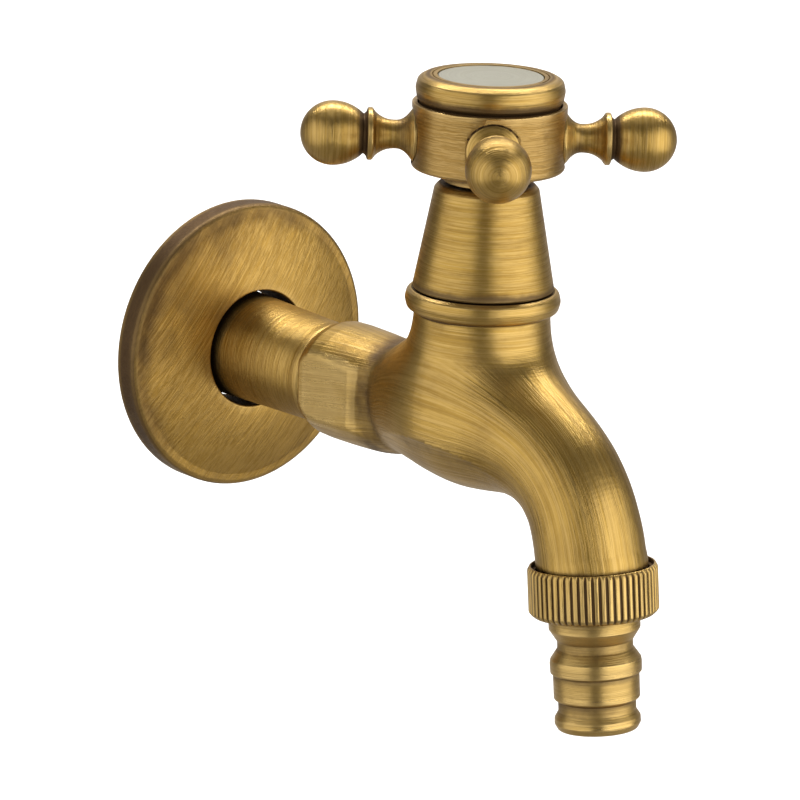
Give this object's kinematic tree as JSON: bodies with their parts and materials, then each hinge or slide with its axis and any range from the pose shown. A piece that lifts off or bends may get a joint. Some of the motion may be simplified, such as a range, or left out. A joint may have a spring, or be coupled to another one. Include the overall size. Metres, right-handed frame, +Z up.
{
  "type": "hose bib",
  "caption": "Antique brass wall-mounted hose bib with a cross handle on a conical bonnet, curved spout, knurled union nut and quick-connect hose tail.",
  "frame": {"origin": "centre of the inlet, on the inlet axis, in the plane of the wall", "axes": "+Z up, +Y into the wall along the inlet thread; the spout and handle reach out toward -Y, X across"},
  "size_m": [0.0576, 0.1359, 0.1162],
  "materials": {
    "aged_brass": "brushed antique brass, dark in the recesses, lacquered",
    "inlay_brass": "finely brushed pale brass disc",
    "raw_brass": "machined",
    "steel": "machined",
    "rubber": "matte",
    "nylon": "matte",
    "ceramic": "polished"
  },
  "bodies": {
    "tap_body": {"body_casting": "aged_brass", "bonnet_cover": "aged_brass", "cartridge_housing": "raw_brass", "bonnet_oring": "rubber", "seat_seal": "rubber", "fixed_ceramic_disc": "ceramic"},
    "handle": {"handle_hub": "aged_brass", "handle_cap": "aged_brass", "cap_inlay": "inlay_brass", "handle_arm_right": "aged_brass", "handle_arm_back": "aged_brass", "handle_arm_left": "aged_brass", "handle_arm_front": "aged_brass", "handle_screw": "steel", "screw_washer": "steel", "spindle": "raw_brass", "spindle_orings": "rubber", "moving_ceramic_disc": "ceramic", "thrust_washer": "nylon", "retaining_ring": "steel"},
    "escutcheon": {"wall_flange": "aged_brass"},
    "hose_tail": {"hose_nipple": "aged_brass", "union_washer": "rubber"},
    "nut": {"union_nut": "aged_brass"}
  },
  "joints": [
    {"name": "handle_turn", "type": "hinge", "parent": "tap_body", "child": "handle", "pos_m": [0, -0.0747, 0.0551], "axis": [0, 0, 1], "range_deg": [0, 90]},
    {"name": "flange_slide", "type": "slide", "parent": "tap_body", "child": "escutcheon", "axis": [0, -1, 0], "range_m": [0, 0.024]},
    {"name": "tail_drop", "type": "slide", "parent": "tap_body", "child": "hose_tail", "axis": [0, -0.1149, -0.9934], "range_m": [0, 0.00544]},
    {"name": "nut_turn", "type": "hinge", "parent": "hose_tail", "child": "nut", "pos_m": [0, -0.10853, -0.02292], "axis": [0, -0.1149, -0.9934], "range_deg": [0, 1080]}
  ],
  "couplings": [
    {"joint": "nut_turn", "follows": "tail_drop", "rad_per_m": 3463.7}
  ]
}
